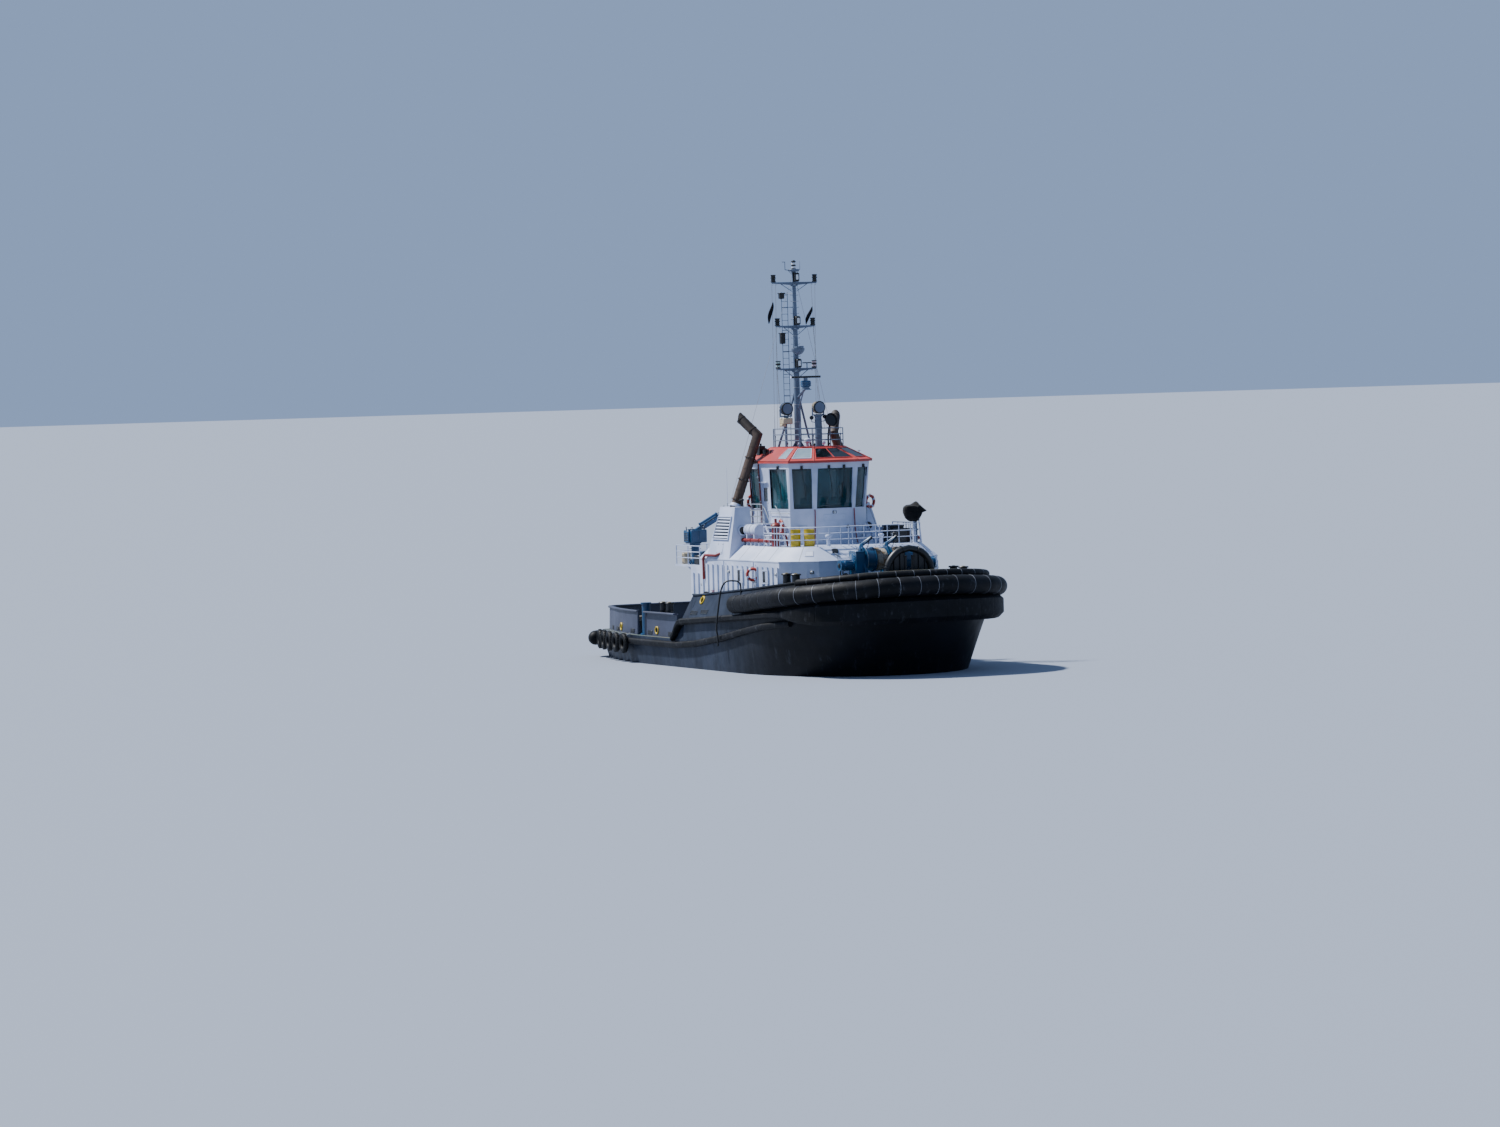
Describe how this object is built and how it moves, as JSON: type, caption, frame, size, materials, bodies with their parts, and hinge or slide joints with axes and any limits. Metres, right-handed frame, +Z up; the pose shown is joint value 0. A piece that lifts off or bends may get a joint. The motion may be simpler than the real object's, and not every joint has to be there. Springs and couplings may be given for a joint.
{
  "type": "harbour tugboat",
  "caption": "Twin-thruster harbour tug with bow fender, foredeck winch, wheelhouse, mast, deck crane and towing gear.",
  "frame": {"origin": "on the centreline, amidships, at the waterline", "axes": "+X towards the bow, +Y to port, +Z up"},
  "size_m": [32.4, 12.91, 26.32],
  "materials": {
    "hull_black": "satin black paint, rust-streaked",
    "bulwark_grey": "weathered charcoal paint",
    "rubber": "weathered black rubber",
    "white": "gloss white paint",
    "orange": "salmon-orange paint",
    "blue": "teal-blue paint",
    "mast_grey": "light blue-grey paint",
    "exhaust": "sooty brown-black",
    "black": "black paint",
    "deck_green": "grey-green deck paint",
    "glass": "tinted window glass",
    "bronze": "cast bronze",
    "antifouling": "dull oxide red"
  },
  "bodies": {
    "vessel": {"hull": "hull_black", "bow_fender": "rubber", "bow_fender_upper": "rubber", "forecastle_bulwark": "hull_black", "stern_bulwark": "bulwark_grey", "upper_strake": "rubber", "stern_fender": "rubber", "deckhouse": "white", "boat_deck": "white", "bridge_deck": "white", "wheelhouse_walls": "white", "wheelhouse_glass_front": "glass", "wheelhouse_glass_aft": "glass", "wheelhouse_floor": "deck_green", "wheelhouse_roof": "orange", "mast": "mast_grey", "searchlight_main": "mast_grey", "searchlight_second": "mast_grey", "roof_railing": "mast_grey", "bridge_railing": "white", "boat_deck_railing": "white", "winch_frame": "blue", "towing_staple": "black", "hatch_coaming": "deck_green", "raft_canister": "white", "towing_bitt": "blue", "capstan_base": "blue", "crane_pedestal": "blue", "side_bulwark_starboard": "bulwark_grey", "side_post_starboard": "blue", "lower_strake_starboard": "rubber", "funnel_casing_starboard": "white", "exhaust_starboard": "exhaust", "wheelhouse_landing_starboard": "white", "aft_bollards_starboard": "black", "fore_bollards_starboard": "black", "side_bulwark_port": "bulwark_grey", "side_post_port": "blue", "lower_strake_port": "rubber", "funnel_casing_port": "white", "exhaust_port": "exhaust", "wheelhouse_landing_port": "white", "aft_bollards_port": "black", "fore_bollards_port": "black"},
    "capstan_head": {"capstan_head": "blue"},
    "crane_boom": {"crane_boom": "blue"},
    "crane_house": {"crane_house": "blue"},
    "crane_jib": {"crane_jib": "blue"},
    "deckhouse_door_port": {"deckhouse_door_port": "white"},
    "deckhouse_door_starboard": {"deckhouse_door_starboard": "white"},
    "hatch_lid": {"hatch_lid": "deck_green"},
    "propeller_port": {"propeller_port": "bronze"},
    "propeller_starboard": {"propeller_starboard": "bronze"},
    "radar_scanner": {"radar_scanner": "white"},
    "thruster_port": {"thruster_port": "antifouling"},
    "thruster_starboard": {"thruster_starboard": "antifouling"},
    "wheelhouse_door_port": {"wheelhouse_door_port": "white"},
    "wheelhouse_door_starboard": {"wheelhouse_door_starboard": "white"},
    "winch_drum_port": {"winch_drum_port": "blue"},
    "winch_drum_starboard": {"winch_drum_starboard": "blue"}
  },
  "joints": [
    {"name": "radar_spin", "type": "hinge", "parent": "vessel", "child": "radar_scanner", "pos_m": [2.3, 0, 15], "axis": [0, 0, 1], "continuous": true},
    {"name": "capstan_spin", "type": "hinge", "parent": "vessel", "child": "capstan_head", "pos_m": [-12.6, 0, 1.9], "axis": [0, 0, 1], "continuous": true},
    {"name": "hatch_lid_hinge", "type": "hinge", "parent": "vessel", "child": "hatch_lid", "pos_m": [12.495, 0, 3.9132], "axis": [0, -1, 0], "range_deg": [0, 100]},
    {"name": "crane_slew", "type": "hinge", "parent": "vessel", "child": "crane_house", "pos_m": [-3.7, -3.9, 6.4], "axis": [0, 0, 1], "range_deg": [0, 180]},
    {"name": "crane_luff", "type": "hinge", "parent": "crane_house", "child": "crane_boom", "pos_m": [-3.7, -3.9, 7], "axis": [1, 0, 0], "range_deg": [0, 42]},
    {"name": "jib_fold", "type": "hinge", "parent": "crane_boom", "child": "crane_jib", "pos_m": [-3.7, -1.60434, 8.22063], "axis": [1, 0, 0], "range_deg": [0, 85]},
    {"name": "deckhouse_door_starboard_hinge", "type": "hinge", "parent": "vessel", "child": "deckhouse_door_starboard", "pos_m": [-3.0143, -2.986, 2.7], "axis": [0, 0, 1], "range_deg": [0, 105]},
    {"name": "wheelhouse_door_starboard_hinge", "type": "hinge", "parent": "vessel", "child": "wheelhouse_door_starboard", "pos_m": [1.294, -2.1843, 8.5], "axis": [0, 0, -1], "range_deg": [0, 90]},
    {"name": "winch_drum_starboard_spin", "type": "hinge", "parent": "vessel", "child": "winch_drum_starboard", "pos_m": [11.3, -0.7, 5.75], "axis": [0, 1, 0], "continuous": true},
    {"name": "thruster_starboard_steer", "type": "hinge", "parent": "vessel", "child": "thruster_starboard", "pos_m": [-11.5, -2.9, -2.5], "axis": [0, 0, 1], "continuous": true},
    {"name": "propeller_starboard_spin", "type": "hinge", "parent": "thruster_starboard", "child": "propeller_starboard", "pos_m": [-10.6, -2.9, -3.75], "axis": [1, 0, 0], "continuous": true},
    {"name": "deckhouse_door_port_hinge", "type": "hinge", "parent": "vessel", "child": "deckhouse_door_port", "pos_m": [-3.0143, 2.986, 2.7], "axis": [0, 0, -1], "range_deg": [0, 105]},
    {"name": "wheelhouse_door_port_hinge", "type": "hinge", "parent": "vessel", "child": "wheelhouse_door_port", "pos_m": [1.294, 2.1843, 8.5], "axis": [0, 0, 1], "range_deg": [0, 90]},
    {"name": "winch_drum_port_spin", "type": "hinge", "parent": "vessel", "child": "winch_drum_port", "pos_m": [11.3, 0.7, 5.75], "axis": [0, 1, 0], "continuous": true},
    {"name": "thruster_port_steer", "type": "hinge", "parent": "vessel", "child": "thruster_port", "pos_m": [-11.5, 2.9, -2.5], "axis": [0, 0, 1], "continuous": true},
    {"name": "propeller_port_spin", "type": "hinge", "parent": "thruster_port", "child": "propeller_port", "pos_m": [-10.6, 2.9, -3.75], "axis": [1, 0, 0], "continuous": true}
  ]
}
